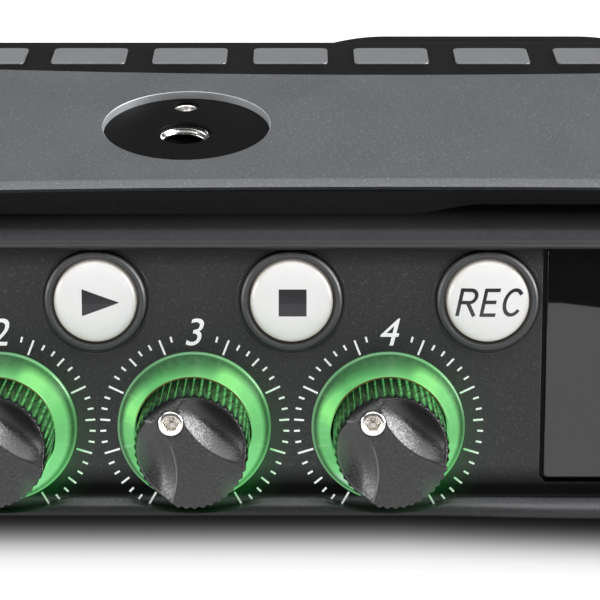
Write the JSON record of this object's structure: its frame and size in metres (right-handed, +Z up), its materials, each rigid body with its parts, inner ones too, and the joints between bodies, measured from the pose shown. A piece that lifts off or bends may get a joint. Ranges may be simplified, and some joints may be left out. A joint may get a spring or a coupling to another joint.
{
  "type": "portable field recorder",
  "caption": "Portable multichannel field audio recorder with lit gain knobs, transport buttons, sloping display panel, side inputs and a rear battery drawer.",
  "frame": {"origin": "centre of the whole bounding box seen from above, on the plane of the feet", "axes": "+X to the right seen from the front, +Y to the rear, +Z up"},
  "size_m": [0.1674, 0.0848, 0.0362],
  "materials": {
    "shell_black": "fine black texture",
    "plate_grey": "grey metallic paint over aluminium",
    "frame_black": "satin black",
    "panel_black": "black leather-grain powder coat",
    "display_glass": "gloss black cover glass",
    "display_module": "matte",
    "board_green": "solder mask",
    "pot_metal": "satin",
    "knob_black": "matte black",
    "ring_green": "lit translucent green",
    "button_white": "translucent white",
    "bezel_dark": "gloss black",
    "steel": "bright",
    "lever_chrome": "polished",
    "cup_black": "matte black",
    "jack_black": "satin black",
    "tab_steel": "satin",
    "rubber": "matte",
    "door_gloss": "gloss black",
    "latch_grey": "matte grey",
    "cell_wrap": "plain printed foil",
    "contact_metal": "nickel plated",
    "card_plastic": "matte dark blue",
    "socket_metal": "bright"
  },
  "bodies": {
    "housing": {"bottom_shell": "shell_black", "top_shell": "shell_black", "top_plate": "plate_grey", "mount_cup": "cup_black", "top_thread_insert": "steel", "bottom_thread_insert": "steel", "left_side_panel": "shell_black", "right_side_panel": "shell_black", "front_frame": "frame_black", "front_panel": "panel_black", "display_glass": "display_glass", "display_gasket": "rubber", "display_module": "display_module", "front_board": "board_green", "main_board": "board_green", "light_rings": "ring_green", "potentiometers": "pot_metal", "button_bezels": "bezel_dark", "button_switches": "jack_black", "switch_bodies": "jack_black", "minijacks": "jack_black", "rear_cover": "shell_black", "rear_panels": "shell_black", "battery_bay": "jack_black", "usb_ports": "socket_metal", "card_slot": "socket_metal", "rubber_feet": "rubber", "case_screws": "steel", "input_jack_1": "jack_black", "input_jack_2": "jack_black", "input_jack_3": "jack_black", "input_jack_4": "jack_black"},
    "play_button": {"play_button": "button_white"},
    "stop_button": {"stop_button": "button_white"},
    "record_button": {"record_button": "button_white"},
    "toggle": {"toggle_lever": "lever_chrome"},
    "headphone_push": {"encoder_shaft": "steel"},
    "headphone_turn": {"headphone_knob": "knob_black"},
    "power_slider": {"power_slider": "latch_grey"},
    "memory_card": {"memory_card": "card_plastic"},
    "battery_drawer": {"battery_tray": "door_gloss", "battery_cells": "cell_wrap", "battery_contacts": "contact_metal"},
    "battery_latch": {"battery_latch": "latch_grey"},
    "shaft_1": {"knob_shaft_1": "steel"},
    "knob_1": {"knob_1": "knob_black", "knob_screw_1": "steel"},
    "latch_tab_1": {"latch_tab_1": "tab_steel"},
    "shaft_2": {"knob_shaft_2": "steel"},
    "knob_2": {"knob_2": "knob_black", "knob_screw_2": "steel"},
    "latch_tab_2": {"latch_tab_2": "tab_steel"},
    "shaft_3": {"knob_shaft_3": "steel"},
    "knob_3": {"knob_3": "knob_black", "knob_screw_3": "steel"},
    "latch_tab_3": {"latch_tab_3": "tab_steel"},
    "shaft_4": {"knob_shaft_4": "steel"},
    "knob_4": {"knob_4": "knob_black", "knob_screw_4": "steel"},
    "latch_tab_4": {"latch_tab_4": "tab_steel"}
  },
  "joints": [
    {"name": "knob_1_press", "type": "slide", "parent": "housing", "child": "shaft_1", "axis": [0, 0.9598, -0.2807], "range_m": [0, 0.0005], "stiffness_N_per_m": 2000},
    {"name": "knob_1_turn", "type": "hinge", "parent": "shaft_1", "child": "knob_1", "pos_m": [-0.0684, -0.02992, 0.0113], "axis": [0, -0.9598, 0.2807], "range_deg": [-183.9, 116]},
    {"name": "knob_2_press", "type": "slide", "parent": "housing", "child": "shaft_2", "axis": [0, 0.9598, -0.2807], "range_m": [0, 0.0005], "stiffness_N_per_m": 2000},
    {"name": "knob_2_turn", "type": "hinge", "parent": "shaft_2", "child": "knob_2", "pos_m": [-0.0469, -0.02992, 0.0113], "axis": [0, -0.9598, 0.2807], "range_deg": [-183.9, 116]},
    {"name": "knob_3_press", "type": "slide", "parent": "housing", "child": "shaft_3", "axis": [0, 0.9598, -0.2807], "range_m": [0, 0.0005], "stiffness_N_per_m": 2000},
    {"name": "knob_3_turn", "type": "hinge", "parent": "shaft_3", "child": "knob_3", "pos_m": [-0.0254, -0.02992, 0.0113], "axis": [0, -0.9598, 0.2807], "range_deg": [-183.9, 116]},
    {"name": "knob_4_press", "type": "slide", "parent": "housing", "child": "shaft_4", "axis": [0, 0.9598, -0.2807], "range_m": [0, 0.0005], "stiffness_N_per_m": 2000},
    {"name": "knob_4_turn", "type": "hinge", "parent": "shaft_4", "child": "knob_4", "pos_m": [-0.0039, -0.02992, 0.0113], "axis": [0, -0.9598, 0.2807], "range_deg": [-183.9, 116]},
    {"name": "play_press", "type": "slide", "parent": "housing", "child": "play_button", "axis": [0, 0.9598, -0.2807], "range_m": [0, 0.0004], "stiffness_N_per_m": 2500},
    {"name": "stop_press", "type": "slide", "parent": "housing", "child": "stop_button", "axis": [0, 0.9598, -0.2807], "range_m": [0, 0.0004], "stiffness_N_per_m": 2500},
    {"name": "record_press", "type": "slide", "parent": "housing", "child": "record_button", "axis": [0, 0.9598, -0.2807], "range_m": [0, 0.0004], "stiffness_N_per_m": 2500},
    {"name": "toggle_tilt", "type": "hinge", "parent": "housing", "child": "toggle", "pos_m": [-0.05765, -0.0234, 0.02431], "axis": [1, 0, 0], "range_deg": [-12, 12], "stiffness_Nm_per_rad": 0.02},
    {"name": "headphone_press", "type": "slide", "parent": "housing", "child": "headphone_push", "axis": [-1, 0, 0], "range_m": [0, 0.0005], "stiffness_N_per_m": 2000},
    {"name": "headphone_turn", "type": "hinge", "parent": "headphone_push", "child": "headphone_turn", "pos_m": [0.0806, -0.02222, 0.0098], "axis": [1, 0, 0], "continuous": true},
    {"name": "power_slide", "type": "slide", "parent": "housing", "child": "power_slider", "axis": [0, 0, 1], "range_m": [0, 0.0038]},
    {"name": "card_out", "type": "slide", "parent": "housing", "child": "memory_card", "axis": [0, 1, 0], "range_m": [0, 0.031]},
    {"name": "battery_drawer_out", "type": "slide", "parent": "housing", "child": "battery_drawer", "axis": [0, 1, 0], "range_m": [0, 0.046]},
    {"name": "battery_latch_lift", "type": "slide", "parent": "battery_drawer", "child": "battery_latch", "axis": [0, 0, 1], "range_m": [0, 0.0016], "stiffness_N_per_m": 600},
    {"name": "latch_tab_1_press", "type": "slide", "parent": "housing", "child": "latch_tab_1", "axis": [1, 0, 0], "range_m": [0, 0.0015], "stiffness_N_per_m": 1200},
    {"name": "latch_tab_2_press", "type": "slide", "parent": "housing", "child": "latch_tab_2", "axis": [1, 0, 0], "range_m": [0, 0.0015], "stiffness_N_per_m": 1200},
    {"name": "latch_tab_3_press", "type": "slide", "parent": "housing", "child": "latch_tab_3", "axis": [-1, 0, 0], "range_m": [0, 0.0015], "stiffness_N_per_m": 1200},
    {"name": "latch_tab_4_press", "type": "slide", "parent": "housing", "child": "latch_tab_4", "axis": [-1, 0, 0], "range_m": [0, 0.0015], "stiffness_N_per_m": 1200}
  ]
}
